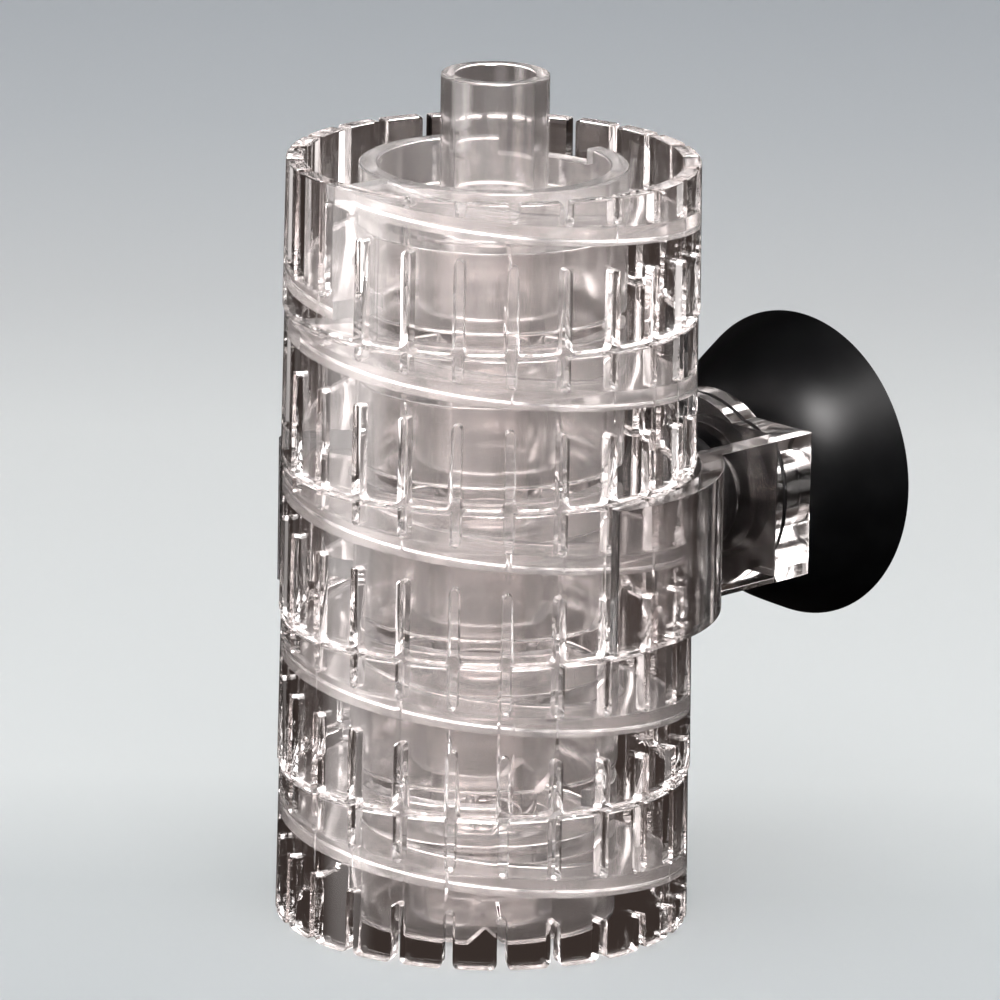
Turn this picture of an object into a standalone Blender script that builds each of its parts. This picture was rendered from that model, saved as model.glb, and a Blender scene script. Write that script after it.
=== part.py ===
"""Stackable spiral gas diffuser for an aquarium, with a push-on bracket and a suction cup.

Five equal clear modules plug into each other. A module is a slotted shell, whose wall carries
one turn of a left-handed helical shelf, and a core: a middle ring, a web, a central tube with a
spigot end on top, and a socket below. Gas bubbles climb along the underside of the shelves. A
plug with a hose nipple closes the lowest socket. A clear C-shaped clip holds the middle module,
and a rubber suction cup is buttoned through its plate.

Frame: metres, +Z up. The stack's axis is Z, its foot is at z = 0, and the cup faces +Y.
"""

import math

import bmesh
import bpy
from mathutils import Matrix

MM = 0.001

# Stack
MODULE_COUNT = 5
MODULE_PITCH = 20.7 * MM  # from one module's foot to the next one's
MODULE_GAP = 0.5 * MM  # between a module's foot and the rim of the one below
TOP_SHELF_AZIMUTH = -95.0  # degrees, where the top module's shelf starts
AZIMUTH_STEP = 30.0  # degrees from each shelf's start back to that of the module below

# Slotted wall
WALL_RADIUS = 27.5 * MM  # outer, at the foot
WALL_THICKNESS = 2.5 * MM  # at the foot
WALL_DRAFT = 0.25 * MM  # the outer face leans in by this much from foot to rim
WALL_HEIGHT = MODULE_PITCH - MODULE_GAP
WALL_BORE = WALL_RADIUS - WALL_THICKNESS
SLOT_COUNT = 24
SLOT_WIDTH = 1.35 * MM
SLOT_PHASE = 11.0  # degrees from the shelf's start to the first slot
SLOT_FLOOR_LIFT = 0.15 * MM  # the upper slots end this far above the shelf
SLOT_DROP = 2.9 * MM  # the lower slots end this far below the shelf
SHORTEST_SLOT = 1.0 * MM

# Helical shelf
SHELF_TOP_DEPTH = 0.3 * MM  # its top face, below the rim, where it starts
SHELF_THICKNESS = 2.5 * MM
SHELF_FOOT_ROOM = 2.1 * MM  # from its lowest point to the wall's foot
SHELF_LEAD = WALL_HEIGHT - SHELF_TOP_DEPTH - SHELF_THICKNESS - SHELF_FOOT_ROOM
SHELF_INTO_WALL = 1.2 * MM

# Core
CORE_CLEARANCE = 0.3 * MM  # ring to shelf, spigot to socket, plug to socket
RING_RADIUS = 17.8 * MM
RING_THICKNESS = 2.5 * MM
RING_RIM_DEPTH = 0.7 * MM  # its top edge, below the wall's rim
CORE_FOOT = 0.5 * MM  # ring's and socket's lower edges, above the wall's foot
TUBE_RADIUS = 7.15 * MM
TUBE_BORE = 5.25 * MM
SPIGOT_RISE = 11.4 * MM  # above the wall's rim
SOCKET_THICKNESS = 2.2 * MM
WEB_THICKNESS = 2.2 * MM
RIM_NOTCH_START = 177.0  # degrees after the shelf's start
RIM_NOTCH_SPAN = 50.0
RIM_NOTCH_DEPTH = 2.3 * MM
GAS_NOTCH_AZIMUTH = 172.0  # degrees after the shelf's start
GAS_NOTCH_HEIGHT = 2.4 * MM

# Gas plug in the lowest socket
PLUG_HEIGHT = 4.0 * MM
NIPPLE_RADIUS = 2.2 * MM
NIPPLE_BARB = 0.5 * MM
NIPPLE_TOP = 16.0 * MM
NIPPLE_BORE = 1.2 * MM
GAS_PORT_RADIUS = 0.7 * MM
GAS_PORT_HEIGHT = 2.0 * MM

# Bracket clip
CLIP_CLEARANCE = 0.6 * MM
CLIP_THICKNESS = 2.2 * MM  # of the band, beside the stack's axis
CLIP_FLARE = 1.2 * MM  # how much thicker the band grows towards the bracket
CLIP_HEIGHT = 19.6 * MM
CLIP_MODULE = 3  # counted from the top
CLIP_RAISE = 0.6 * MM  # its middle, above the middle of its module's wall
CLIP_BAND_ENDS = (100.5, 115.7)  # degrees from +Y, on the +X side and on the -X side
ARM_HALF_WIDTH = 18.3 * MM  # outer
ARM_THICKNESS = 3.3 * MM
PLATE_REACH = 15.5 * MM  # from the stack's wall to the plate's outer face
PLATE_OUTER = WALL_RADIUS + PLATE_REACH
PLATE_THICKNESS = 4.8 * MM
HEAD_RADIUS = 13.2 * MM  # the round head that the plate carries, round the cup's neck

# Suction cup
CUP_RADIUS = 21.0 * MM
CUP_DROP = 0.8 * MM  # its axis, below the clip's middle
CUP_REACH = 16.3 * MM  # from the plate's outer face to the plane of its lip
CUP_RIM = PLATE_OUTER + CUP_REACH
CUP_LIP = 1.4 * MM
CUP_DEPTH = 9.0 * MM
CUP_TAPER = 0.33  # how much the dome narrows as a cone from its rim to its back
CUP_FULLNESS = 5.0  # exponent of how late it rounds over
CUP_SHOULDER_AT = 0.9  # share of the way to the back where its shoulder starts
CUP_SHOULDER = 9.5 * MM
CUP_NECK = 5.0 * MM
CUP_KNOB = 8.0 * MM
KNOB_THICKNESS = 3.6 * MM
CUP_CLEARANCE = 0.3 * MM

# Smoothness
WALL_STEPS = 48
CORE_STEPS = 24
CUP_STEPS = 36
DOME_STEPS = 10
OVERCUT = 1.0 * MM  # how far a cutter runs past what it cuts

CLEAR_PLASTIC = {"color": (0.80, 0.77, 0.76, 1.0), "roughness": 0.05, "alpha": 0.35}
CLIP_PLASTIC = {"color": (0.82, 0.79, 0.78, 1.0), "roughness": 0.04, "alpha": 0.35}
BLACK_RUBBER = {"color": (0.012, 0.012, 0.014, 1.0), "roughness": 0.38, "alpha": 1.0}


def clear_scene():
    for obj in list(bpy.data.objects):
        bpy.data.objects.remove(obj, do_unlink=True)


def new_collection(name):
    collection = bpy.data.collections.new(name)
    bpy.context.scene.collection.children.link(collection)
    return collection


def new_material(name, look):
    material = bpy.data.materials.new(name)
    material.use_nodes = True
    shader = material.node_tree.nodes["Principled BSDF"]
    shader.inputs["Base Color"].default_value = look["color"]
    shader.inputs["Roughness"].default_value = look["roughness"]
    shader.inputs["Metallic"].default_value = 0.0
    shader.inputs["Alpha"].default_value = look["alpha"]
    return material


def mesh_object(name, mesh, collection):
    obj = bpy.data.objects.new(name, mesh)
    collection.objects.link(obj)
    return obj


def as_cutter(obj):
    obj.hide_render = True
    obj.display_type = "WIRE"
    return obj


def turned(name, profile, steps, collection, closed=True):
    """A solid of revolution about Z. The (radius, height) profile runs down its outer side."""
    mesh = bpy.data.meshes.new(name)
    points = [(radius, 0.0, height) for radius, height in profile]
    edges = [(i, i + 1) for i in range(len(points) - 1)]
    if closed:
        edges.append((len(points) - 1, 0))
    mesh.from_pydata(points, edges, [])
    obj = mesh_object(name, mesh, collection)
    screw = obj.modifiers.new("turn", "SCREW")
    screw.axis = "Z"
    screw.angle = 2 * math.pi
    screw.steps = steps
    screw.render_steps = steps
    screw.use_merge_vertices = True
    screw.merge_threshold = 0.00001
    screw.use_smooth_shade = True
    return obj


def swept_bar(name, radii, heights, start, span, steps, drop, collection):
    """A rectangular bar bent about Z, from azimuth start over span, that drops on its way."""
    mesh = bpy.data.meshes.new(name)
    shape = bmesh.new()
    corners = [
        (radii[0], 0.0, heights[0]),
        (radii[1], 0.0, heights[0]),
        (radii[1], 0.0, heights[1]),
        (radii[0], 0.0, heights[1]),
    ]
    face = shape.faces.new([shape.verts.new(corner) for corner in corners])
    bmesh.ops.rotate(
        shape,
        verts=shape.verts[:],
        cent=(0, 0, 0),
        matrix=Matrix.Rotation(math.radians(start), 3, "Z"),
    )
    bmesh.ops.spin(
        shape,
        geom=[face] + face.edges[:] + face.verts[:],
        cent=(0, 0, 0),
        axis=(0, 0, 1),
        dvec=(0, 0, -drop / steps),
        angle=math.radians(span),
        steps=steps,
        use_merge=False,
        use_duplicate=False,
    )
    bmesh.ops.recalc_face_normals(shape, faces=shape.faces[:])
    shape.to_mesh(mesh)
    shape.free()
    return mesh_object(name, mesh, collection)


def box_into(shape, centre, size, azimuth=0.0, roll=0.0):
    """Adds a box at a place given along azimuth; roll turns it about that radial direction."""
    turn = Matrix.Rotation(math.radians(azimuth), 4, "Z")
    lean = Matrix.Rotation(math.radians(roll), 4, "X")
    scale = Matrix.Diagonal((*size, 1.0))
    bmesh.ops.create_cube(
        shape, size=1.0, matrix=turn @ Matrix.Translation(centre) @ lean @ scale
    )


def combine(obj, operation, other, name):
    modifier = obj.modifiers.new(name, "BOOLEAN")
    modifier.operation = operation
    modifier.solver = "EXACT"
    modifier.object = other
    as_cutter(other)


def frozen_mesh(obj, name):
    """The object's evaluated mesh with its own data, shaded smooth between sharp edges."""
    bpy.context.view_layer.update()
    graph = bpy.context.evaluated_depsgraph_get()
    mesh = bpy.data.meshes.new_from_object(obj.evaluated_get(graph))
    mesh.name = name
    mesh.shade_smooth()
    mesh.set_sharp_from_angle(angle=math.radians(35))
    return mesh


def shelf_depth(azimuth):
    """Depth of the shelf's top face below the rim, at an azimuth after the shelf's start."""
    return SHELF_TOP_DEPTH + SHELF_LEAD * azimuth / 360.0


def slot_cutter(cutters):
    """Every slot of one wall: down from the rim to the shelf, and up from the foot."""
    mesh = bpy.data.meshes.new("slot_cutter")
    shape = bmesh.new()
    reach = WALL_THICKNESS + 2 * OVERCUT
    middle = WALL_RADIUS - WALL_THICKNESS / 2
    for number in range(SLOT_COUNT):
        azimuth = SLOT_PHASE + number * 360.0 / SLOT_COUNT
        floor = WALL_HEIGHT - shelf_depth(azimuth) + SLOT_FLOOR_LIFT
        roof = WALL_HEIGHT - shelf_depth(azimuth) - SHELF_THICKNESS - SLOT_DROP
        spans = []
        if WALL_HEIGHT - floor > SHORTEST_SLOT:
            spans.append((floor, WALL_HEIGHT + OVERCUT))
        if roof > SHORTEST_SLOT:
            spans.append((-OVERCUT, roof))
        for low, high in spans:
            centre = (middle, 0.0, (low + high) / 2)
            box_into(shape, centre, (reach, SLOT_WIDTH, high - low), azimuth)
    shape.to_mesh(mesh)
    shape.free()
    return mesh_object("slot_cutter", mesh, cutters)


def shell_mesh(cutters):
    """The slotted wall with its helical shelf, standing on z = 0, the shelf starting at +X."""
    profile = [
        (WALL_RADIUS - WALL_DRAFT, WALL_HEIGHT),
        (WALL_RADIUS, 0.0),
        (WALL_BORE, 0.0),
        (WALL_BORE, WALL_HEIGHT),
    ]
    wall = turned("shell_blank", profile, WALL_STEPS, cutters)
    combine(wall, "DIFFERENCE", slot_cutter(cutters), "slots")
    top = WALL_HEIGHT - SHELF_TOP_DEPTH
    shelf = swept_bar(
        "shelf_blank",
        (RING_RADIUS + CORE_CLEARANCE, WALL_BORE + SHELF_INTO_WALL),
        (top, top - SHELF_THICKNESS),
        0.0,
        360.0,
        WALL_STEPS,
        SHELF_LEAD,
        cutters,
    )
    combine(wall, "UNION", shelf, "shelf")
    as_cutter(wall)
    return frozen_mesh(wall, "spiral_shell")


def core_mesh(cutters):
    """Middle ring, web, central tube and socket in one turned piece, with its two notches."""
    rim = WALL_HEIGHT - RING_RIM_DEPTH
    ring_bore = RING_RADIUS - RING_THICKNESS
    socket_bore = TUBE_RADIUS + CORE_CLEARANCE
    socket_radius = socket_bore + SOCKET_THICKNESS
    web_under = SPIGOT_RISE - MODULE_GAP + CORE_CLEARANCE
    web_top = web_under + WEB_THICKNESS
    profile = [
        (RING_RADIUS, rim),
        (RING_RADIUS, CORE_FOOT),
        (ring_bore, CORE_FOOT),
        (ring_bore, web_under),
        (socket_radius, web_under),
        (socket_radius, CORE_FOOT),
        (socket_bore, CORE_FOOT),
        (socket_bore, web_under),
        (TUBE_BORE, web_under),
        (TUBE_BORE, WALL_HEIGHT + SPIGOT_RISE),
        (TUBE_RADIUS, WALL_HEIGHT + SPIGOT_RISE),
        (TUBE_RADIUS, web_top),
        (ring_bore, web_top),
        (ring_bore, rim),
    ]
    core = turned("core_blank", profile, CORE_STEPS, cutters)
    rim_notch = swept_bar(
        "rim_notch_cutter",
        (ring_bore - OVERCUT, RING_RADIUS + OVERCUT),
        (rim + OVERCUT, rim - RIM_NOTCH_DEPTH),
        RIM_NOTCH_START,
        RIM_NOTCH_SPAN,
        4,
        0.0,
        cutters,
    )
    combine(core, "DIFFERENCE", rim_notch, "rim_notch")
    side = GAS_NOTCH_HEIGHT * math.sqrt(2)
    inner = TUBE_RADIUS - OVERCUT
    outer = RING_RADIUS + OVERCUT
    mesh = bpy.data.meshes.new("gas_notch_cutter")
    shape = bmesh.new()
    centre = ((inner + outer) / 2, 0.0, CORE_FOOT)
    box_into(shape, centre, (outer - inner, side, side), GAS_NOTCH_AZIMUTH, 45.0)
    shape.to_mesh(mesh)
    shape.free()
    gas_notch = mesh_object("gas_notch_cutter", mesh, cutters)
    combine(core, "DIFFERENCE", gas_notch, "gas_notch")
    as_cutter(core)
    return frozen_mesh(core, "core_tube")


def module_place(number):
    """(height, azimuth in radians) of a module, counted from the top."""
    height = (MODULE_COUNT - number) * MODULE_PITCH
    azimuth = TOP_SHELF_AZIMUTH - (number - 1) * AZIMUTH_STEP
    return height, math.radians(azimuth)


def add_modules(parts, cutters):
    shell = shell_mesh(cutters)
    core = core_mesh(cutters)
    shell.materials.append(new_material("clear_shell", CLEAR_PLASTIC))
    core.materials.append(new_material("clear_core", CLEAR_PLASTIC))
    for number in range(1, MODULE_COUNT + 1):
        height, azimuth = module_place(number)
        for label, mesh in (("spiral_shell", shell), ("core_tube", core)):
            obj = mesh_object(f"{label}_{number}", mesh, parts)
            obj.location = (0.0, 0.0, height)
            obj.rotation_euler = (0.0, 0.0, azimuth)


def add_gas_plug(parts, cutters):
    """The plug that closes the lowest socket, with its hose nipple and its gas port."""
    bore_floor = GAS_PORT_HEIGHT - GAS_PORT_RADIUS
    barb = NIPPLE_RADIUS + NIPPLE_BARB
    profile = [
        (0.0, bore_floor),
        (NIPPLE_BORE, bore_floor),
        (NIPPLE_BORE, NIPPLE_TOP),
        (NIPPLE_RADIUS, NIPPLE_TOP),
        (barb, NIPPLE_TOP - 2 * MM),
        (NIPPLE_RADIUS, NIPPLE_TOP - 2.5 * MM),
        (NIPPLE_RADIUS, PLUG_HEIGHT),
        (TUBE_RADIUS, PLUG_HEIGHT),
        (TUBE_RADIUS, 0.0),
        (0.0, 0.0),
    ]
    plug = turned("gas_plug", profile, CORE_STEPS, parts, closed=False)
    mesh = bpy.data.meshes.new("gas_port_cutter")
    shape = bmesh.new()
    reach = TUBE_RADIUS + OVERCUT
    azimuth = module_place(MODULE_COUNT)[1] + math.radians(GAS_NOTCH_AZIMUTH)
    along = Matrix.Rotation(azimuth, 4, "Z") @ Matrix.Rotation(math.pi / 2, 4, "Y")
    bmesh.ops.create_cone(
        shape,
        cap_ends=True,
        segments=12,
        radius1=GAS_PORT_RADIUS,
        radius2=GAS_PORT_RADIUS,
        depth=reach,
        matrix=Matrix.Translation((0, 0, GAS_PORT_HEIGHT))
        @ along
        @ Matrix.Translation((0, 0, reach / 2)),
    )
    shape.to_mesh(mesh)
    shape.free()
    combine(plug, "DIFFERENCE", mesh_object("gas_port_cutter", mesh, cutters), "gas_port")
    plug.data.materials.append(new_material("clear_plug", CLEAR_PLASTIC))


def arc(radius_at, first, last, steps):
    """Points round Z at angles measured from +Y towards +X."""
    points = []
    for step in range(steps + 1):
        angle = math.radians(first + (last - first) * step / steps)
        radius = radius_at(math.cos(angle))
        points.append((radius * math.sin(angle), radius * math.cos(angle)))
    return points


def clip_outline():
    """The clip seen from above: a C-shaped band that turns out into two arms and a plate."""
    bore = WALL_RADIUS + CLIP_CLEARANCE

    def inner_radius(_):
        return bore

    def outer_radius(towards_plate):
        return bore + CLIP_THICKNESS + CLIP_FLARE * towards_plate

    arm_bore = ARM_HALF_WIDTH - ARM_THICKNESS
    plate_inner = PLATE_OUTER - PLATE_THICKNESS
    inner_start = math.degrees(math.asin(arm_bore / bore))
    outer_start = inner_start
    for _ in range(20):
        radius = outer_radius(math.cos(math.radians(outer_start)))
        outer_start = math.degrees(math.asin(ARM_HALF_WIDTH / radius))
    right, left = CLIP_BAND_ENDS
    points = [(ARM_HALF_WIDTH, PLATE_OUTER), (-ARM_HALF_WIDTH, PLATE_OUTER)]
    points += arc(outer_radius, -outer_start, -left, 12)
    points += arc(inner_radius, -left, -inner_start, 14)
    points += [(-arm_bore, plate_inner), (arm_bore, plate_inner)]
    points += arc(inner_radius, inner_start, right, 12)
    points += arc(outer_radius, right, outer_start, 10)
    return points


def cylinder_along_y(name, radius, low, high, height, segments, collection):
    mesh = bpy.data.meshes.new(name)
    shape = bmesh.new()
    centre = Matrix.Translation((0, (low + high) / 2, height))
    bmesh.ops.create_cone(
        shape,
        cap_ends=True,
        segments=segments,
        radius1=radius,
        radius2=radius,
        depth=high - low,
        matrix=centre @ Matrix.Rotation(-math.pi / 2, 4, "X"),
    )
    shape.to_mesh(mesh)
    shape.free()
    return mesh_object(name, mesh, collection)


def clip_height():
    """Height of the clip's middle, beside its module."""
    return module_place(CLIP_MODULE)[0] + WALL_HEIGHT / 2 + CLIP_RAISE


def cup_height():
    """Height of the suction cup's axis."""
    return clip_height() - CUP_DROP


def clip_blank(cutters):
    """The clip's outline, extruded to its height about z = 0, as a mesh."""
    curve = bpy.data.curves.new("clip_outline", "CURVE")
    curve.dimensions = "2D"
    curve.fill_mode = "BOTH"
    curve.extrude = CLIP_HEIGHT / 2
    points = clip_outline()
    spline = curve.splines.new("POLY")
    spline.points.add(len(points) - 1)
    for point, (x, y) in zip(spline.points, points):
        point.co = (x, y, 0.0, 1.0)
    spline.use_cyclic_u = True
    outline = mesh_object("clip_outline", curve, cutters)
    bpy.context.view_layer.update()
    graph = bpy.context.evaluated_depsgraph_get()
    mesh = bpy.data.meshes.new_from_object(outline.evaluated_get(graph))
    bpy.data.objects.remove(outline, do_unlink=True)
    shape = bmesh.new()
    shape.from_mesh(mesh)
    bmesh.ops.remove_doubles(shape, verts=shape.verts[:], dist=0.00001)
    bmesh.ops.recalc_face_normals(shape, faces=shape.faces[:])
    shape.to_mesh(mesh)
    shape.free()
    return mesh


def add_clip(parts, cutters):
    clip = mesh_object("holder_clip", clip_blank(cutters), parts)
    clip.location = (0.0, 0.0, clip_height())
    plate_inner = PLATE_OUTER - PLATE_THICKNESS
    head = cylinder_along_y(
        "head_blank", HEAD_RADIUS, plate_inner, PLATE_OUTER, cup_height(), 40, cutters
    )
    combine(clip, "UNION", head, "head")
    hole = cylinder_along_y(
        "neck_hole_cutter",
        CUP_NECK + CUP_CLEARANCE,
        plate_inner - OVERCUT,
        PLATE_OUTER + OVERCUT,
        cup_height(),
        24,
        cutters,
    )
    combine(clip, "DIFFERENCE", hole, "neck_hole")
    clip.data.materials.append(new_material("clear_clip", CLIP_PLASTIC))
    return clip


def cup_profile():
    """(radius, distance along the cup's axis from the plate's outer face), hollow side up."""
    back = CUP_CLEARANCE
    rim = CUP_RIM - PLATE_OUTER
    run = rim - back
    through = -PLATE_THICKNESS - CUP_CLEARANCE
    knob_end = through - KNOB_THICKNESS
    profile = []
    for step in range(DOME_STEPS + 1):
        share = CUP_SHOULDER_AT * (1 - (1 - step / DOME_STEPS) ** 2)
        crown = (1 - CUP_TAPER * share) * math.sqrt(1 - share**CUP_FULLNESS)
        profile.append((CUP_RADIUS * crown, rim - run * share))
    profile += [
        (CUP_SHOULDER, back),
        (CUP_NECK, back),
        (CUP_NECK, through),
        (CUP_KNOB, through),
        (CUP_KNOB, through - KNOB_THICKNESS / 2),
        (CUP_KNOB * 0.7, knob_end),
        (0.0, knob_end),
    ]
    hollow = []
    for step in range(DOME_STEPS + 1):
        share = (step / DOME_STEPS) ** 2
        hollow.append(((CUP_RADIUS - CUP_LIP) * math.sqrt(1 - share), rim - CUP_DEPTH * share))
    return hollow[::-1] + profile


def add_suction_cup(parts):
    """Turned about its own axis, then laid along +Y through the hole in the plate."""
    cup = turned("suction_cup", cup_profile(), CUP_STEPS, parts, closed=False)
    swivel = bpy.data.objects.new("cup_swivel", None)
    parts.objects.link(swivel)
    swivel.location = (0.0, PLATE_OUTER, cup_height())
    swivel.rotation_euler = (-math.pi / 2, 0.0, 0.0)
    cup.parent = swivel
    cup.data.materials.append(new_material("black_rubber", BLACK_RUBBER))


def main():
    clear_scene()
    parts = new_collection("spiral_gas_diffuser")
    cutters = new_collection("cutters")
    add_modules(parts, cutters)
    add_gas_plug(parts, cutters)
    add_clip(parts, cutters)
    add_suction_cup(parts)
    bpy.context.view_layer.update()


main()
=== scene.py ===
"""Looks for the spiral gas diffuser: clear moulded modules, clear bracket clip, rubber suction cup.

Each CAD node is replaced by a finer piece of the same size, with rounded edges and slot ends.
Frame: metres, +Z up, the stack's axis is Z, its foot is at z = 0, and the cup faces +Y.
"""

import math

import bmesh
import bpy
from mathutils import Matrix, Vector


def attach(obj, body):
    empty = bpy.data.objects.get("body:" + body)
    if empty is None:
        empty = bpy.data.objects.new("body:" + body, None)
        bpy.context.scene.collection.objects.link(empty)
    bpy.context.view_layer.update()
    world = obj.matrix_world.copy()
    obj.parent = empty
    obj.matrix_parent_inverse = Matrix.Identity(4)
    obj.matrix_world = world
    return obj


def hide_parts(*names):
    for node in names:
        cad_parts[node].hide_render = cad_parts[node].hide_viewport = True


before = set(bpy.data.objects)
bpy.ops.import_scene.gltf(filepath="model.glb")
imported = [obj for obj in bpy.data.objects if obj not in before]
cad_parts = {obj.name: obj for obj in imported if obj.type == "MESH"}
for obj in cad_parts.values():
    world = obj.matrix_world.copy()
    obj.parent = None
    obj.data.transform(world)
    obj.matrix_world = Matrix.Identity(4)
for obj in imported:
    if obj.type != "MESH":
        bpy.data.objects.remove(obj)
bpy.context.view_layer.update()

MM = 0.001

# Stack, the same values as the CAD
MODULE_COUNT = 5
MODULE_PITCH = 20.7 * MM
MODULE_GAP = 0.5 * MM
TOP_SHELF_AZIMUTH = -95.0
AZIMUTH_STEP = 30.0
WALL_RADIUS = 27.5 * MM
WALL_DRAFT = 0.25 * MM
WALL_HEIGHT = MODULE_PITCH - MODULE_GAP
WALL_BORE = 25.0 * MM
SLOT_COUNT = 24
SLOT_WIDTH = 1.35 * MM
SLOT_PHASE = 11.0
SLOT_FLOOR_LIFT = 0.15 * MM
SLOT_DROP = 2.9 * MM
SHORTEST_SLOT = 1.0 * MM
SHELF_TOP_DEPTH = 0.3 * MM
SHELF_THICKNESS = 2.5 * MM
SHELF_LEAD = 15.3 * MM
SHELF_INTO_WALL = 1.2 * MM
CORE_CLEARANCE = 0.3 * MM
RING_RADIUS = 17.8 * MM
RING_THICKNESS = 2.5 * MM
RING_RIM_DEPTH = 0.7 * MM
CORE_FOOT = 0.5 * MM
TUBE_RADIUS = 7.15 * MM
TUBE_BORE = 5.25 * MM
SPIGOT_RISE = 11.4 * MM
SOCKET_THICKNESS = 2.2 * MM
WEB_THICKNESS = 2.2 * MM
RIM_NOTCH_START = 177.0
RIM_NOTCH_SPAN = 50.0
RIM_NOTCH_DEPTH = 2.3 * MM
GAS_NOTCH_AZIMUTH = 172.0
GAS_NOTCH_HEIGHT = 2.4 * MM
PLUG_HEIGHT = 4.0 * MM
NIPPLE_RADIUS = 2.2 * MM
NIPPLE_BARB = 0.5 * MM
NIPPLE_TOP = 16.0 * MM
NIPPLE_BORE = 1.2 * MM
GAS_PORT_RADIUS = 0.7 * MM
GAS_PORT_HEIGHT = 2.0 * MM
CLIP_CLEARANCE = 0.6 * MM
CLIP_THICKNESS = 2.2 * MM
CLIP_FLARE = 1.2 * MM
CLIP_HEIGHT = 19.6 * MM
CLIP_MODULE = 3
CLIP_RAISE = 0.6 * MM
CLIP_BAND_ENDS = (100.5, 115.7)
ARM_HALF_WIDTH = 18.3 * MM
ARM_THICKNESS = 3.3 * MM
PLATE_OUTER = 43.0 * MM
PLATE_THICKNESS = 4.8 * MM
HEAD_RADIUS = 13.2 * MM
CUP_RADIUS = 21.0 * MM
CUP_DROP = 0.8 * MM
CUP_RIM = 59.3 * MM
CUP_LIP = 1.4 * MM
CUP_DEPTH = 9.0 * MM
CUP_TAPER = 0.33
CUP_FULLNESS = 5.0
CUP_SHOULDER_AT = 0.9
CUP_SHOULDER = 9.5 * MM
CUP_NECK = 5.0 * MM
CUP_KNOB = 8.0 * MM
KNOB_THICKNESS = 3.6 * MM
CUP_CLEARANCE = 0.3 * MM

# Finer detail than the CAD
WALL_COLUMNS = 144  # a slot's middle is on every sixth one
CORE_COLUMNS = 120
CUP_COLUMNS = 160
RIM_ROUND = 0.3 * MM
SLOT_ROUND = 0.28 * MM
SLOT_TOP_FLARE = 0.35 * MM
SLOT_FOOT_FLARE = 1.0 * MM
SLOT_STRAIGHT = 0.05 * MM  # the least straight run between a slot's end and its flare
SHELF_ROUND = 0.45 * MM
CORE_ROUND = 0.4 * MM
CLIP_ROUND = 0.35 * MM
OVERCUT = 1.0 * MM

# Camera: 342 mm lens, 15 degrees down, on the side of azimuth -45 degrees
CAMERA_PLACE = (0.8577, -0.8577, 0.3850)
CAMERA_LENS = 342.13
CAMERA_PITCH = 15.153
CAMERA_YAW = -0.074
CAMERA_ROLL = 1.027
CAMERA_AZIMUTH = -45.0

# Plastic: refraction, tints along its flow lines, surface waves, and (haze, body) for each look
PLASTIC_IOR = 1.5
PALE = (1.0, 0.985, 0.98)
DEEP = (0.985, 0.96, 0.955)
WALL_WAVES = 0.012
CORE_WAVES = 0.02
SHELF_LOOK = (0.12, 0.95)
CORE_LOOK = (0.13, 0.96)
TUBE_LOOK = (0.06, 0.97)
CLIP_LOOK = (0.055, 1.0)

# Rubber
RUBBER = (0.0015, 0.0015, 0.0017)
RUBBER_DUSTY = (0.0036, 0.0036, 0.0039)
RUBBER_SPECULAR = 0.12
RUBBER_ROUGHNESS = (0.34, 0.42)

# Studio panels: azimuth, elevation, inner and outer half-angle in degrees, colour
KEY_PANEL = (-29.0, 49.0, 9.0, 17.0, (66.0, 64.1, 63.5))
SEEN_THROUGH = (
    KEY_PANEL,
    (-110.0, 66.0, 24.0, 34.0, (6.6, 6.3, 6.2)),
    (-121.0, 15.0, 23.0, 33.0, (5.6, 5.3, 5.2)),
    (22.0, 26.0, 12.0, 24.0, (7.6, 7.3, 7.2)),
    (135.0, -54.0, 12.0, 23.0, (7.6, 7.2, 7.1)),
    (75.0, 42.0, 12.0, 24.0, (5.0, 4.8, 4.7)),
    (-60.0, 15.0, 16.0, 36.0, (2.0, 1.93, 1.9)),
)
DARK_THROUGH = (0.042, 0.031, 0.027)
SEEN_MIRRORED = (
    KEY_PANEL,
    (-125.0, 8.0, 20.0, 34.0, (4.0, 3.8, 3.75)),
)
DARK_MIRRORED = (0.012, 0.010, 0.010)
STUDIO_CENTRE = (0, 0, 0.06)

# Softboxes for the rubber and the floor: name, azimuth, elevation, distance, size, power, colour
SOFTBOXES = (
    ("key_softbox", -29.0, 49.0, 0.8, 0.3, 4.0, (1.0, 0.99, 0.98)),
    ("top_softbox", -100.0, 78.0, 0.9, 0.9, 2.5, (1.0, 1.0, 1.0)),
)
SOFTBOX_TARGET = (0, 0, 0.055)
SKY_COLOUR = (0.93, 0.96, 1.0)
SKY_STRENGTH = 0.62

# Floor: its tone from front to back, a painted pool of light that is brightest in a middle band and
# falls off to the front and back, as shares of the reach away from the camera's side
FLOOR_SIZE = 3.0
FLOOR_DROP = 0.2 * MM
FLOOR_REACH = (-0.05, 0.60)
FLOOR_PAINTED_LIGHT_BANDS = (
    (0.0, (0.47, 0.492, 0.50)),
    (0.09, (0.51, 0.533, 0.535)),
    (0.17, (0.655, 0.672, 0.665)),
    (0.46, (0.672, 0.681, 0.67)),
    (0.6, (0.585, 0.592, 0.59)),
    (0.8, (0.51, 0.527, 0.54)),
    (1.0, (0.46, 0.48, 0.50)),
)


def mesh_object(name, mesh):
    obj = bpy.data.objects.new(name, mesh)
    bpy.context.scene.collection.objects.link(obj)
    return obj


def discard(*objs):
    for obj in objs:
        bpy.data.objects.remove(obj, do_unlink=True)


# ---------------------------------------------------------------- shapes


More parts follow.
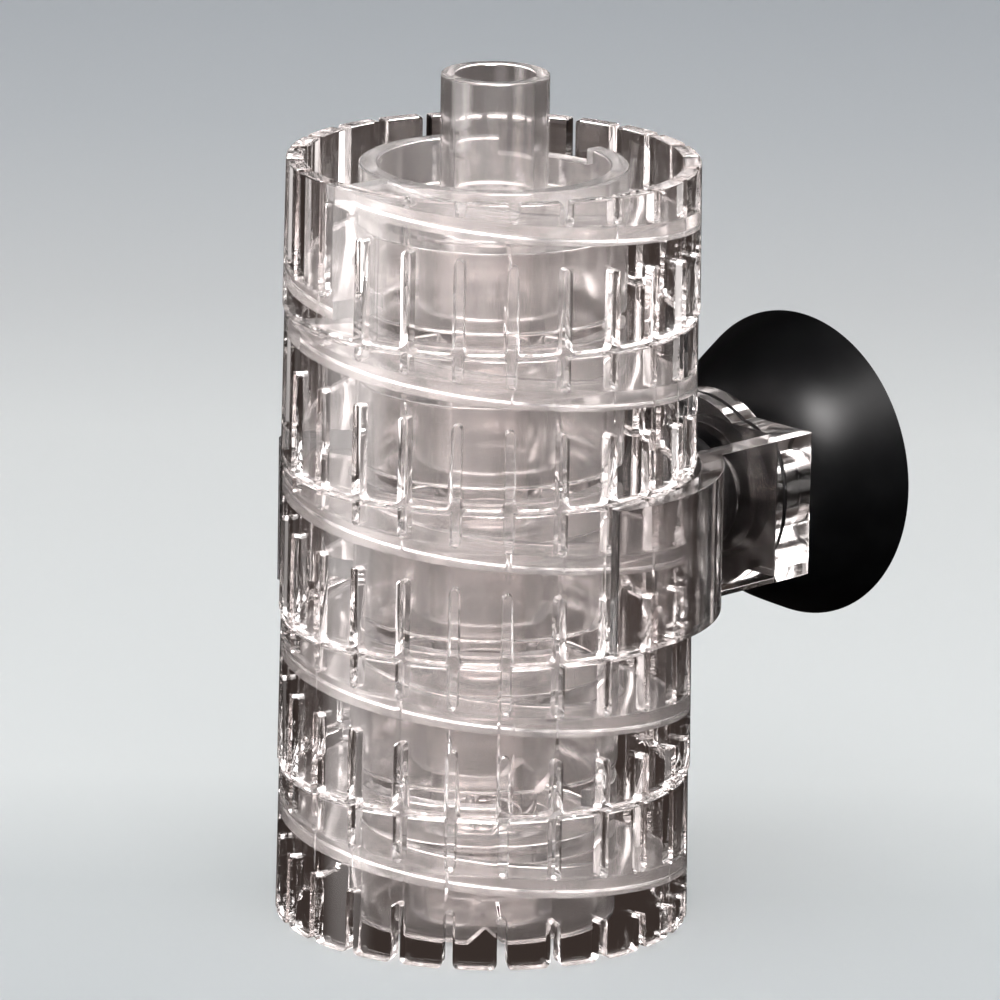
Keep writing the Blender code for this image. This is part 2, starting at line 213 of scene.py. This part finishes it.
def rounded(corners, steps=3):
    """A closed outline with its corners filleted. Each corner is (x, y, fillet radius)."""
    points = []
    for i, (x, y, radius) in enumerate(corners):
        here = Vector((x, y))
        if radius <= 0:
            points.append((x, y))
            continue
        back = (Vector(corners[i - 1][:2]) - here).normalized()
        ahead = (Vector(corners[(i + 1) % len(corners)][:2]) - here).normalized()
        half = back.angle(ahead) / 2
        centre = here + (back + ahead).normalized() * (radius / math.sin(half))
        first = here + back * (radius / math.tan(half)) - centre
        last = here + ahead * (radius / math.tan(half)) - centre
        turn = math.atan2(first.x * last.y - first.y * last.x, first.dot(last))
        for step in range(steps + 1):
            angle = turn * step / steps
            points.append(
                (
                    centre.x + first.x * math.cos(angle) - first.y * math.sin(angle),
                    centre.y + first.x * math.sin(angle) + first.y * math.cos(angle),
                )
            )
    return points


def finish_mesh(shape, name, sharp=40.0):
    bmesh.ops.remove_doubles(shape, verts=shape.verts[:], dist=0.000002)
    bmesh.ops.recalc_face_normals(shape, faces=shape.faces[:])
    mesh = bpy.data.meshes.new(name)
    shape.to_mesh(mesh)
    shape.free()
    mesh.shade_smooth()
    mesh.set_sharp_from_angle(angle=math.radians(sharp))
    return mesh


def revolved(name, profile, columns, closed=True, phase=0.0):
    """A solid of revolution about Z from (radius, height) points."""
    shape = bmesh.new()
    rings = []
    for column in range(columns):
        angle = math.radians(phase) + 2 * math.pi * column / columns
        cos, sin = math.cos(angle), math.sin(angle)
        rings.append([shape.verts.new((r * cos, r * sin, z)) for r, z in profile])
    count = len(profile)
    for column in range(columns):
        one, two = rings[column], rings[(column + 1) % columns]
        for i in range(count if closed else count - 1):
            j = (i + 1) % count
            shape.faces.new((one[i], two[i], two[j], one[j]))
    return finish_mesh(shape, name)


def swept(name, section_at, steps, start, span):
    """A capped bar bent about Z. section_at(share) gives its (radius, height) outline there."""
    shape = bmesh.new()
    rings = []
    for step in range(steps + 1):
        share = step / steps
        angle = math.radians(start + span * share)
        cos, sin = math.cos(angle), math.sin(angle)
        rings.append(
            [shape.verts.new((r * cos, r * sin, z)) for r, z in section_at(share)]
        )
    for one, two in zip(rings, rings[1:]):
        for i in range(len(one)):
            j = (i + 1) % len(one)
            shape.faces.new((one[i], two[i], two[j], one[j]))
    shape.faces.new(rings[0])
    shape.faces.new(rings[-1])
    return finish_mesh(shape, name)


def prism_into(shape, outline, place):
    """Adds a prism. outline holds (across, up) points, and place(across, up, end) puts them."""
    ends = [[shape.verts.new(place(a, u, end)) for a, u in outline] for end in (0, 1)]
    shape.faces.new(ends[0])
    shape.faces.new(ends[1])
    for i in range(len(outline)):
        j = (i + 1) % len(outline)
        shape.faces.new((ends[0][i], ends[0][j], ends[1][j], ends[1][i]))


def boolean(obj, operation, other):
    modifier = obj.modifiers.new(operation.lower(), "BOOLEAN")
    modifier.operation = operation
    modifier.solver = "EXACT"
    modifier.object = other


def bevel(obj, width, segments, angle):
    modifier = obj.modifiers.new("edges", "BEVEL")
    modifier.width = width
    modifier.segments = segments
    modifier.limit_method = "ANGLE"
    modifier.angle_limit = math.radians(angle)
    modifier.use_clamp_overlap = True


def applied(obj):
    bpy.context.view_layer.update()
    graph = bpy.context.evaluated_depsgraph_get()
    mesh = bpy.data.meshes.new_from_object(obj.evaluated_get(graph))
    obj.modifiers.clear()
    obj.data = mesh
    return mesh


def apply_all(obj, sharp=50.0):
    """The finished mesh, with normals that follow its large faces, so that clear walls look flat."""
    mesh = applied(obj)
    mesh.shade_smooth()
    mesh.set_sharp_from_angle(angle=math.radians(sharp))
    weighted = obj.modifiers.new("normals", "WEIGHTED_NORMAL")
    weighted.mode = "FACE_AREA"
    weighted.weight = 50
    weighted.keep_sharp = True
    return applied(obj)


# ---------------------------------------------------------------- modules


def shelf_depth(azimuth):
    return SHELF_TOP_DEPTH + SHELF_LEAD * azimuth / 360.0


def slot_outline(closed_end, open_end, flare, direction):
    """A slot with a round end and flared mouth; direction is +1 where it opens upwards."""
    half = SLOT_WIDTH / 2
    length = abs(open_end - closed_end)
    flare = min(flare, length - half - SLOT_STRAIGHT)
    points = []
    for step in range(9):
        angle = math.pi * step / 8
        reach = closed_end + direction * (half - half * math.sin(angle))
        points.append((-half * math.cos(angle), reach))
    for step in range(5):
        angle = math.pi / 2 * step / 4
        across = half + flare - flare * math.cos(angle)
        points.append((across, open_end - direction * (flare - flare * math.sin(angle))))
    points.append((half + flare, open_end + direction * OVERCUT))
    mirrored = [(-a, u) for a, u in reversed(points[9:])]
    return points + mirrored


def slot_cutter():
    shape = bmesh.new()
    low, high = WALL_BORE - OVERCUT, WALL_RADIUS + OVERCUT
    for number in range(SLOT_COUNT):
        azimuth = SLOT_PHASE + number * 360.0 / SLOT_COUNT
        angle = math.radians(azimuth)
        cos, sin = math.cos(angle), math.sin(angle)
        floor = WALL_HEIGHT - shelf_depth(azimuth) + SLOT_FLOOR_LIFT
        roof = WALL_HEIGHT - shelf_depth(azimuth) - SHELF_THICKNESS - SLOT_DROP

        def place(across, up, end, cos=cos, sin=sin):
            radius = (low, high)[end]
            return (radius * cos - across * sin, radius * sin + across * cos, up)

        if WALL_HEIGHT - floor > SHORTEST_SLOT:
            prism_into(shape, slot_outline(floor, WALL_HEIGHT, SLOT_TOP_FLARE, 1), place)
        if roof > SHORTEST_SLOT:
            prism_into(shape, slot_outline(roof, 0.0, SLOT_FOOT_FLARE, -1), place)
    return mesh_object("slot_cutter", finish_mesh(shape, "slot_cutter"))


def shell_mesh():
    profile = rounded(
        [
            (WALL_RADIUS - WALL_DRAFT, WALL_HEIGHT, RIM_ROUND),
            (WALL_RADIUS, 0.0, RIM_ROUND),
            (WALL_BORE, 0.0, RIM_ROUND),
            (WALL_BORE, WALL_HEIGHT, RIM_ROUND),
        ]
    )
    wall = mesh_object("shell", revolved("shell", profile, WALL_COLUMNS, phase=SLOT_PHASE))
    slots = slot_cutter()
    boolean(wall, "DIFFERENCE", slots)
    bevel(wall, SLOT_ROUND, 2, 50)
    inner, outer = RING_RADIUS + CORE_CLEARANCE, WALL_BORE + SHELF_INTO_WALL

    def section(share):
        top = WALL_HEIGHT - shelf_depth(360.0 * share)
        foot = top - SHELF_THICKNESS
        return rounded(
            [
                (inner, top, SHELF_ROUND),
                (inner, foot, SHELF_ROUND),
                (outer, foot, 0),
                (outer, top, 0),
            ]
        )

    shelf = mesh_object("shelf", swept("shelf", section, WALL_COLUMNS, 0.0, 360.0))
    for obj in (wall, shelf):
        obj.data.materials.append(None)
        obj.data.materials.append(None)
    for face in shelf.data.polygons:
        face.material_index = 1
    boolean(wall, "UNION", shelf)
    mesh = apply_all(wall)
    discard(wall, slots, shelf)
    return mesh


def core_mesh():
    rim = WALL_HEIGHT - RING_RIM_DEPTH
    ring_bore = RING_RADIUS - RING_THICKNESS
    socket_bore = TUBE_RADIUS + CORE_CLEARANCE
    socket_radius = socket_bore + SOCKET_THICKNESS
    web_under = SPIGOT_RISE - MODULE_GAP + CORE_CLEARANCE
    web_top = web_under + WEB_THICKNESS
    r = CORE_ROUND
    profile = rounded(
        [
            (RING_RADIUS, rim, r),
            (RING_RADIUS, CORE_FOOT, r),
            (ring_bore, CORE_FOOT, r),
            (ring_bore, web_under, r),
            (socket_radius, web_under, r),
            (socket_radius, CORE_FOOT, r),
            (socket_bore, CORE_FOOT, r),
            (socket_bore, web_under, r / 2),
            (TUBE_BORE, web_under, r / 2),
            (TUBE_BORE, WALL_HEIGHT + SPIGOT_RISE, r),
            (TUBE_RADIUS, WALL_HEIGHT + SPIGOT_RISE, r),
            (TUBE_RADIUS, web_top, r),
            (ring_bore, web_top, r),
            (ring_bore, rim, r),
        ]
    )
    core = mesh_object("core", revolved("core", profile, CORE_COLUMNS))

    def rim_section(_):
        low, high = ring_bore - OVERCUT, RING_RADIUS + OVERCUT
        top, foot = rim + OVERCUT, rim - RIM_NOTCH_DEPTH
        return [(high, top), (high, foot), (low, foot), (low, top)]

    notch_mesh = swept("rim_notch", rim_section, 20, RIM_NOTCH_START, RIM_NOTCH_SPAN)
    notch = mesh_object("rim_notch", notch_mesh)
    shape = bmesh.new()
    angle = math.radians(GAS_NOTCH_AZIMUTH)
    cos, sin = math.cos(angle), math.sin(angle)
    low, high = TUBE_RADIUS - OVERCUT, RING_RADIUS + OVERCUT
    half = GAS_NOTCH_HEIGHT
    outline = [(-half, CORE_FOOT), (0.0, CORE_FOOT + half), (half, CORE_FOOT), (0.0, -half)]

    def place(across, up, end):
        radius = (low, high)[end]
        return (radius * cos - across * sin, radius * sin + across * cos, up)

    prism_into(shape, outline, place)
    gas_notch = mesh_object("gas_notch", finish_mesh(shape, "gas_notch"))
    boolean(core, "DIFFERENCE", notch)
    boolean(core, "DIFFERENCE", gas_notch)
    mesh = apply_all(core)
    discard(core, notch, gas_notch)
    for face in mesh.polygons:
        if math.hypot(face.center.x, face.center.y) < socket_radius and face.center.z > web_under:
            face.material_index = 1
    return mesh


def module_place(number):
    height = (MODULE_COUNT - number) * MODULE_PITCH
    azimuth = TOP_SHELF_AZIMUTH - (number - 1) * AZIMUTH_STEP
    return height, math.radians(azimuth)


def plug_mesh():
    bore_floor = GAS_PORT_HEIGHT - GAS_PORT_RADIUS
    barb = NIPPLE_RADIUS + NIPPLE_BARB
    fine = 0.2 * MM
    outline = [
        (NIPPLE_BORE, bore_floor, 0),
        (NIPPLE_BORE, NIPPLE_TOP, fine),
        (NIPPLE_RADIUS, NIPPLE_TOP, fine),
        (barb, NIPPLE_TOP - 2 * MM, fine),
        (NIPPLE_RADIUS, NIPPLE_TOP - 2.5 * MM, 0),
        (NIPPLE_RADIUS, PLUG_HEIGHT, fine),
        (TUBE_RADIUS, PLUG_HEIGHT, fine * 1.5),
        (TUBE_RADIUS, 0.0, fine * 1.5),
        (0.0, 0.0, 0),
        (0.0, bore_floor, 0),
    ]
    profile = rounded(outline)
    plug = mesh_object("plug", revolved("plug", profile[-1:] + profile[:-1], 96, closed=False))
    shape = bmesh.new()
    reach = TUBE_RADIUS + OVERCUT
    azimuth = module_place(MODULE_COUNT)[1] + math.radians(GAS_NOTCH_AZIMUTH)
    along = Matrix.Rotation(azimuth, 4, "Z") @ Matrix.Rotation(math.pi / 2, 4, "Y")
    lift = Matrix.Translation((0, 0, GAS_PORT_HEIGHT))
    bmesh.ops.create_cone(
        shape,
        cap_ends=True,
        segments=32,
        radius1=GAS_PORT_RADIUS,
        radius2=GAS_PORT_RADIUS,
        depth=reach,
        matrix=lift @ along @ Matrix.Translation((0, 0, reach / 2)),
    )
    port = mesh_object("port", finish_mesh(shape, "port"))
    boolean(plug, "DIFFERENCE", port)
    mesh = apply_all(plug)
    discard(plug, port)
    return mesh


# ---------------------------------------------------------------- clip and cup


def arc(radius_at, first, last, steps):
    points = []
    for step in range(steps + 1):
        angle = math.radians(first + (last - first) * step / steps)
        radius = radius_at(math.cos(angle))
        points.append((radius * math.sin(angle), radius * math.cos(angle), 0))
    return points


def clip_outline():
    bore = WALL_RADIUS + CLIP_CLEARANCE

    def inner_radius(_):
        return bore

    def outer_radius(towards_plate):
        return bore + CLIP_THICKNESS + CLIP_FLARE * towards_plate

    arm_bore = ARM_HALF_WIDTH - ARM_THICKNESS
    plate_inner = PLATE_OUTER - PLATE_THICKNESS
    inner_start = math.degrees(math.asin(arm_bore / bore))
    outer_start = inner_start
    for _ in range(20):
        radius = outer_radius(math.cos(math.radians(outer_start)))
        outer_start = math.degrees(math.asin(ARM_HALF_WIDTH / radius))
    right, left = CLIP_BAND_ENDS
    outer_left = arc(outer_radius, -outer_start, -left, 40)
    inner_left = arc(inner_radius, -left, -inner_start, 44)
    inner_right = arc(inner_radius, inner_start, right, 40)
    outer_right = arc(outer_radius, right, outer_start, 34)

    def ends_rounded(points, first, last):
        points[0] = (*points[0][:2], first)
        points[-1] = (*points[-1][:2], last)
        return points

    fine, wide = 0.45 * MM, 0.8 * MM
    corners = [(ARM_HALF_WIDTH, PLATE_OUTER, fine), (-ARM_HALF_WIDTH, PLATE_OUTER, fine)]
    corners += ends_rounded(outer_left, wide, fine)
    corners += ends_rounded(inner_left, fine, fine)
    corners += [(-arm_bore, plate_inner, fine), (arm_bore, plate_inner, fine)]
    corners += ends_rounded(inner_right, fine, fine)
    corners += ends_rounded(outer_right, fine, wide)
    return rounded(corners, 5)


def clip_height():
    return module_place(CLIP_MODULE)[0] + WALL_HEIGHT / 2 + CLIP_RAISE


def cup_height():
    return clip_height() - CUP_DROP


def cylinder_along_y(name, radius, low, high, segments):
    shape = bmesh.new()
    centre = Matrix.Translation((0, (low + high) / 2, cup_height()))
    bmesh.ops.create_cone(
        shape,
        cap_ends=True,
        segments=segments,
        radius1=radius,
        radius2=radius,
        depth=high - low,
        matrix=centre @ Matrix.Rotation(-math.pi / 2, 4, "X"),
    )
    return mesh_object(name, finish_mesh(shape, name))


def clip_mesh():
    shape = bmesh.new()
    middle, half = clip_height(), CLIP_HEIGHT / 2

    def place(across, up, end):
        return (across, up, middle + (-half, half)[end])

    prism_into(shape, clip_outline(), place)
    clip = mesh_object("clip", finish_mesh(shape, "clip"))
    plate_inner = PLATE_OUTER - PLATE_THICKNESS
    head = cylinder_along_y("head", HEAD_RADIUS, plate_inner, PLATE_OUTER, 120)
    hole = cylinder_along_y(
        "hole", CUP_NECK + CUP_CLEARANCE, plate_inner - OVERCUT, PLATE_OUTER + OVERCUT, 72
    )
    boolean(clip, "UNION", head)
    boolean(clip, "DIFFERENCE", hole)
    bevel(clip, CLIP_ROUND, 3, 50)
    mesh = apply_all(clip)
    discard(clip, head, hole)
    return mesh


def crown(share):
    """The dome's radius as a share of the cup's, from its rim to its shoulder."""
    return (1 - CUP_TAPER * share) * math.sqrt(1 - share**CUP_FULLNESS)


def cup_mesh():
    """Turned about Z, then laid along +Y through the hole in the plate."""
    back = CUP_CLEARANCE
    rim = CUP_RIM - PLATE_OUTER
    run = rim - back
    through = -PLATE_THICKNESS - CUP_CLEARANCE
    knob_end = through - KNOB_THICKNESS
    dome = []
    for step in range(49):
        share = CUP_SHOULDER_AT * step / 48
        dome.append((CUP_RADIUS * crown(share), rim - run * share))
    fine = 0.4 * MM
    stem = rounded(
        [
            (CUP_SHOULDER, back, fine),
            (CUP_NECK, back, fine),
            (CUP_NECK, through, fine),
            (CUP_KNOB, through, fine),
            (CUP_KNOB, through - KNOB_THICKNESS / 2, fine),
            (CUP_KNOB * 0.7, knob_end, fine),
            (0.0, knob_end, 0),
        ],
        4,
    )
    hollow = []
    for step in range(41):
        share = (step / 40) ** 2
        hollow.append(((CUP_RADIUS - CUP_LIP) * math.sqrt(1 - share), rim - CUP_DEPTH * share))
    profile = hollow[::-1] + dome + stem
    mesh = revolved("cup", profile, CUP_COLUMNS, closed=False)
    lay = Matrix.Translation((0, PLATE_OUTER, cup_height())) @ Matrix.Rotation(-math.pi / 2, 4, "X")
    mesh.transform(lay)
    return mesh


# ---------------------------------------------------------------- materials


class Nodes:
    """Short calls for building one material's node tree."""

    def __init__(self, name):
        self.material = bpy.data.materials.new(name)
        self.material.use_nodes = True
        self.tree = self.material.node_tree
        self.shader = self.tree.nodes["Principled BSDF"]
        self.coordinates = self.add("ShaderNodeTexCoord").outputs["Object"]

    def add(self, kind, **settings):
        node = self.tree.nodes.new(kind)
        for key, value in settings.items():
            setattr(node, key, value)
        return node

    def link(self, source, target):
        self.tree.links.new(source, target)

    def scaled(self, scale, turn=(0, 0, 0)):
        mapping = self.add("ShaderNodeMapping")
        mapping.inputs["Scale"].default_value = scale
        mapping.inputs["Rotation"].default_value = turn
        self.link(self.coordinates, mapping.inputs["Vector"])
        return mapping.outputs["Vector"]

    def noise(self, vector, scale, detail=3.0, roughness=0.5):
        node = self.add("ShaderNodeTexNoise")
        node.inputs["Scale"].default_value = scale
        node.inputs["Detail"].default_value = detail
        node.inputs["Roughness"].default_value = roughness
        self.link(vector, node.inputs["Vector"])
        return node.outputs["Fac"]

    def mapped(self, value, low, high, to_low, to_high):
        node = self.add("ShaderNodeMapRange")
        for key, number in zip(
            ("From Min", "From Max", "To Min", "To Max"), (low, high, to_low, to_high)
        ):
            node.inputs[key].default_value = number
        self.link(value, node.inputs["Value"])
        return node.outputs["Result"]

    def bump(self, height, strength, distance, below=None):
        node = self.add("ShaderNodeBump")
        node.inputs["Strength"].default_value = strength
        node.inputs["Distance"].default_value = distance
        self.link(height, node.inputs["Height"])
        if below is not None:
            self.link(below, node.inputs["Normal"])
        return node.outputs["Normal"]

    def mixed(self, factor, one, two):
        node = self.add("ShaderNodeMix", data_type="RGBA")
        self.link(factor, node.inputs["Factor"])
        node.inputs[6].default_value = (*one, 1.0)
        node.inputs[7].default_value = (*two, 1.0)
        return node.outputs[2]


def clear_plastic(name, waviness, haze=0.0, body=1.0):
    """Moulded polystyrene: faint warm tint, flow lines, a wavy surface and handling scratches."""
    nodes = Nodes(name)
    shader = nodes.shader
    shader.inputs["Transmission Weight"].default_value = body
    shader.inputs["IOR"].default_value = PLASTIC_IOR
    flow = nodes.noise(nodes.scaled((230.0, 230.0, 60.0)), 1.0, 1.0, 0.5)
    nodes.link(nodes.mixed(flow, PALE, DEEP), shader.inputs["Base Color"])
    marks = nodes.noise(nodes.scaled((1500.0, 1500.0, 500.0), (0.4, 0.25, 0)), 1.0, 1.0)
    nodes.link(nodes.mapped(marks, 0.5, 0.8, haze, haze + 0.05), shader.inputs["Roughness"])
    nodes.link(nodes.bump(flow, waviness, 0.0006), shader.inputs["Normal"])
    return nodes.material


def black_rubber(name):
    """Satin rubber with a fine grain, soft dents and dust in patches."""
    nodes = Nodes(name)
    shader = nodes.shader
    dust = nodes.mapped(nodes.noise(nodes.coordinates, 320.0, 5.0, 0.6), 0.45, 0.75, 0.0, 1.0)
    nodes.link(nodes.mixed(dust, RUBBER, RUBBER_DUSTY), shader.inputs["Base Color"])
    grain = nodes.noise(nodes.coordinates, 5200.0, 2.0)
    patches = nodes.noise(nodes.coordinates, 110.0, 3.0)
    nodes.link(nodes.mapped(patches, 0.3, 0.7, *RUBBER_ROUGHNESS), shader.inputs["Roughness"])
    shader.inputs["Specular IOR Level"].default_value = RUBBER_SPECULAR
    soft = nodes.bump(nodes.noise(nodes.coordinates, 160.0, 2.0), 0.06, 0.0006)
    nodes.link(nodes.bump(grain, 0.10, 0.00004, soft), shader.inputs["Normal"])
    return nodes.material


# ---------------------------------------------------------------- studio


def direction(azimuth, elevation):
    a, e = math.radians(azimuth), math.radians(elevation)
    return Vector((math.cos(e) * math.cos(a), math.cos(e) * math.sin(a), math.sin(e)))


def only_seen_by(obj, camera=False, diffuse=False, glossy=False, transmission=False, shadow=False):
    obj.visible_camera = camera
    obj.visible_diffuse = diffuse
    obj.visible_glossy = glossy
    obj.visible_transmission = transmission
    obj.visible_shadow = shadow
    obj.visible_volume_scatter = False


def add_panels(name, panels, dark, **seen_by):
    """The panels of a dark-field set as a dome, which the camera doesn't see itself."""
    shape = bmesh.new()
    bmesh.ops.create_uvsphere(shape, u_segments=64, v_segments=32, radius=1.0)
    dome = mesh_object(name, finish_mesh(shape, name))
    dome.location = STUDIO_CENTRE
    material = bpy.data.materials.new(name)
    material.use_nodes = True
    tree = material.node_tree
    tree.nodes.clear()
    output = tree.nodes.new("ShaderNodeOutputMaterial")
    emission = tree.nodes.new("ShaderNodeEmission")
    tree.links.new(emission.outputs[0], output.inputs["Surface"])
    coordinates = tree.nodes.new("ShaderNodeTexCoord")
    unit = tree.nodes.new("ShaderNodeVectorMath")
    unit.operation = "NORMALIZE"
    tree.links.new(coordinates.outputs["Object"], unit.inputs[0])
    total = None
    for azimuth, elevation, inner, outer, colour in panels:
        dot = tree.nodes.new("ShaderNodeVectorMath")
        dot.operation = "DOT_PRODUCT"
        dot.inputs[1].default_value = direction(azimuth, elevation)
        tree.links.new(unit.outputs[0], dot.inputs[0])
        ramp = tree.nodes.new("ShaderNodeMapRange")
        ramp.interpolation_type = "SMOOTHSTEP"
        ramp.inputs["From Min"].default_value = math.cos(math.radians(outer))
        ramp.inputs["From Max"].default_value = math.cos(math.radians(inner))
        tree.links.new(dot.outputs["Value"], ramp.inputs["Value"])
        scaled = tree.nodes.new("ShaderNodeVectorMath")
        scaled.operation = "SCALE"
        scaled.inputs[0].default_value = colour
        tree.links.new(ramp.outputs["Result"], scaled.inputs["Scale"])
        if total is None:
            total = scaled.outputs[0]
            continue
        add = tree.nodes.new("ShaderNodeVectorMath")
        add.operation = "ADD"
        tree.links.new(total, add.inputs[0])
        tree.links.new(scaled.outputs[0], add.inputs[1])
        total = add.outputs[0]
    add = tree.nodes.new("ShaderNodeVectorMath")
    add.operation = "ADD"
    add.inputs[1].default_value = dark
    tree.links.new(total, add.inputs[0])
    tree.links.new(add.outputs[0], emission.inputs["Color"])
    dome.data.materials.append(material)
    only_seen_by(dome, **seen_by)


def add_floor():
    """A plain pale floor whose tone falls off to the front and back, a painted pool of light."""
    shape = bmesh.new()
    bmesh.ops.create_grid(shape, x_segments=8, y_segments=8, size=FLOOR_SIZE)
    floor = mesh_object("floor", finish_mesh(shape, "floor"))
    floor.location = (0, 0, -FLOOR_DROP)
    nodes = Nodes("floor_paper_painted_light")
    turned = nodes.add("ShaderNodeVectorMath", operation="DOT_PRODUCT")
    turned.inputs[1].default_value = direction(CAMERA_AZIMUTH + 180.0, 0.0)
    nodes.link(nodes.coordinates, turned.inputs[0])
    share = nodes.mapped(turned.outputs["Value"], *FLOOR_REACH, 0.0, 1.0)
    # painted light: this colour ramp paints a pool of light on the floor, brightest in the middle
    # and darker to the front and back
    ramp = nodes.add("ShaderNodeValToRGB")
    ramp.color_ramp.interpolation = "LINEAR"
    while len(ramp.color_ramp.elements) < len(FLOOR_PAINTED_LIGHT_BANDS):
        ramp.color_ramp.elements.new(0.5)
    for element, (place, colour) in zip(ramp.color_ramp.elements, FLOOR_PAINTED_LIGHT_BANDS):
        element.position = place
        element.color = (*colour, 1.0)
    nodes.link(share, ramp.inputs["Fac"])
    nodes.link(ramp.outputs["Color"], nodes.shader.inputs["Base Color"])
    nodes.shader.inputs["Roughness"].default_value = 0.95
    nodes.shader.inputs["Specular IOR Level"].default_value = 0.1
    fibres = nodes.noise(nodes.coordinates, 900.0, 2.0)
    nodes.link(nodes.bump(fibres, 0.03, 0.0002), nodes.shader.inputs["Normal"])
    floor.data.materials.append(nodes.material)
    only_seen_by(floor, camera=True, diffuse=True, shadow=True)


def add_softbox(name, azimuth, elevation, distance, size, power, colour):
    data = bpy.data.lights.new(name, "AREA")
    data.shape = "SQUARE"
    data.size = size
    data.energy = power
    data.color = colour
    data.use_shadow = False
    light = bpy.data.objects.new(name, data)
    bpy.context.scene.collection.objects.link(light)
    target = Vector(SOFTBOX_TARGET)
    light.location = target + direction(azimuth, elevation) * distance
    light.rotation_euler = (target - light.location).to_track_quat("-Z", "Y").to_euler()
    light.visible_camera = False
    light.visible_glossy = False
    light.visible_transmission = False


def add_lights():
    for softbox in SOFTBOXES:
        add_softbox(*softbox)
    world = bpy.data.worlds.new("studio_air")
    bpy.context.scene.world = world
    world.use_nodes = True
    background = world.node_tree.nodes["Background"]
    background.inputs["Color"].default_value = (*SKY_COLOUR, 1.0)
    background.inputs["Strength"].default_value = SKY_STRENGTH


def add_camera():
    data = bpy.data.cameras.new("camera")
    data.lens = CAMERA_LENS
    data.sensor_width = 36.0
    data.clip_start = 0.05
    data.clip_end = 20.0
    camera = bpy.data.objects.new("camera", data)
    bpy.context.scene.collection.objects.link(camera)
    base = Matrix(((1, 0, 0), (0, 0, -1), (0, 1, 0)))
    to_camera = (
        Matrix.Rotation(math.radians(CAMERA_ROLL), 3, "Z")
        @ Matrix.Rotation(math.radians(CAMERA_PITCH), 3, "X")
        @ Matrix.Rotation(math.radians(CAMERA_YAW), 3, "Y")
        @ base
    )
    turn = Matrix.Rotation(math.radians(90.0 + CAMERA_AZIMUTH), 3, "Z")
    right, down, ahead = (turn @ to_camera[i] for i in range(3))
    pose = Matrix((right, -down, -ahead)).transposed().to_4x4()
    camera.matrix_world = Matrix.Translation(CAMERA_PLACE) @ pose
    bpy.context.scene.camera = camera


# ---------------------------------------------------------------- assembly


def add_piece(name, mesh, materials, body, node):
    for index, material in enumerate(materials):
        if index < len(mesh.materials):
            mesh.materials[index] = material
        else:
            mesh.materials.append(material)
    piece = mesh_object(name, mesh)
    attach(piece, body)
    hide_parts(node)
    return piece


def add_modules():
    shell, core = shell_mesh(), core_mesh()
    wall = clear_plastic("clear_shell", WALL_WAVES)
    shelf = clear_plastic("hazy_shelf", CORE_WAVES, *SHELF_LOOK)
    ring = clear_plastic("clear_core", CORE_WAVES, *CORE_LOOK)
    tube = clear_plastic("clear_tube", CORE_WAVES, *TUBE_LOOK)
    looks = (("spiral_shell", shell, (wall, shelf)), ("core_tube", core, (ring, tube)))
    for number in range(1, MODULE_COUNT + 1):
        height, azimuth = module_place(number)
        place = Matrix.Translation((0, 0, height)) @ Matrix.Rotation(azimuth, 4, "Z")
        for label, mesh, materials in looks:
            node = f"{label}_{number}"
            body = f"module_{number}"
            placed = mesh.copy()
            placed.transform(place)
            add_piece(f"{node}_fine", placed, materials, body, node)


def add_plug_clip_and_cup():
    plug = clear_plastic("clear_plug", WALL_WAVES)
    add_piece("gas_plug_fine", plug_mesh(), (plug,), "module_5", "gas_plug")
    clip = clear_plastic("clear_clip", WALL_WAVES, *CLIP_LOOK)
    add_piece("holder_clip_fine", clip_mesh(), (clip,), "clip", "holder_clip")
    rubber = black_rubber("black_rubber")
    add_piece("suction_cup_fine", cup_mesh(), (rubber,), "cup", "suction_cup")


def set_light_paths():
    """Plain colours, and enough bounces for light to cross many clear walls."""
    scene = bpy.context.scene
    scene.view_settings.view_transform = "Standard"
    scene.cycles.max_bounces = 24
    scene.cycles.transmission_bounces = 24
    scene.cycles.glossy_bounces = 12
    scene.cycles.transparent_max_bounces = 16


set_light_paths()
add_camera()
add_modules()
add_plug_clip_and_cup()
add_floor()
add_panels("panels_behind", SEEN_THROUGH, DARK_THROUGH, transmission=True)
add_panels("panels_in_front", SEEN_MIRRORED, DARK_MIRRORED, glossy=True)
add_lights()
